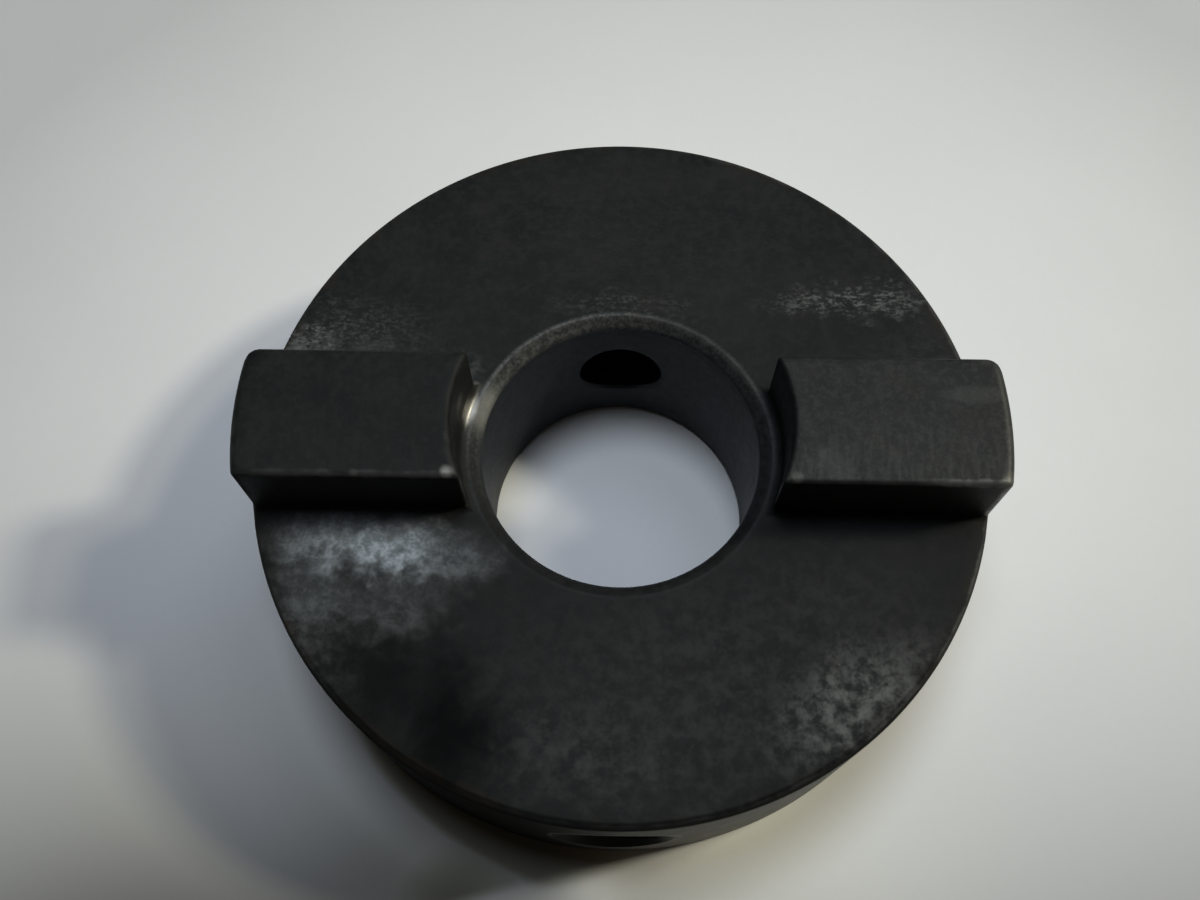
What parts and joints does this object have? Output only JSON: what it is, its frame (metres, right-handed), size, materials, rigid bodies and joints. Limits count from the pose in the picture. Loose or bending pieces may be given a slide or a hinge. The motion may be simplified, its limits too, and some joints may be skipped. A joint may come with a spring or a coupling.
{
  "type": "drive collar",
  "caption": "Round steel shaft collar with a plain bore, raised drive lugs across its front face and radial set screws that lock it to the shaft.",
  "frame": {"origin": "centre of the shaft bore in the back face, the face it rests on", "axes": "+Z along the bore towards the drive lugs, +X through the lugs, +Y along the set screw holes, towards the rear hole"},
  "size_m": [0.042, 0.042, 0.0168],
  "materials": {
    "black_oxide_steel": "machined carbon steel, black oxide (blued), oiled, with worn edges and a mottled sheen",
    "set_screw_steel": "alloy steel set screw, black oxide"
  },
  "bodies": {
    "collar": {"collar_body": "black_oxide_steel"},
    "front_screw": {"set_screw_front": "set_screw_steel"},
    "rear_screw": {"set_screw_rear": "set_screw_steel"}
  },
  "joints": [
    {"name": "front_screw_advance", "type": "slide", "parent": "collar", "child": "front_screw", "axis": [0, 1, 0], "range_m": [-0.006, 0.004]},
    {"name": "rear_screw_advance", "type": "slide", "parent": "collar", "child": "rear_screw", "axis": [0, -1, 0], "range_m": [-0.006, 0.004]}
  ]
}
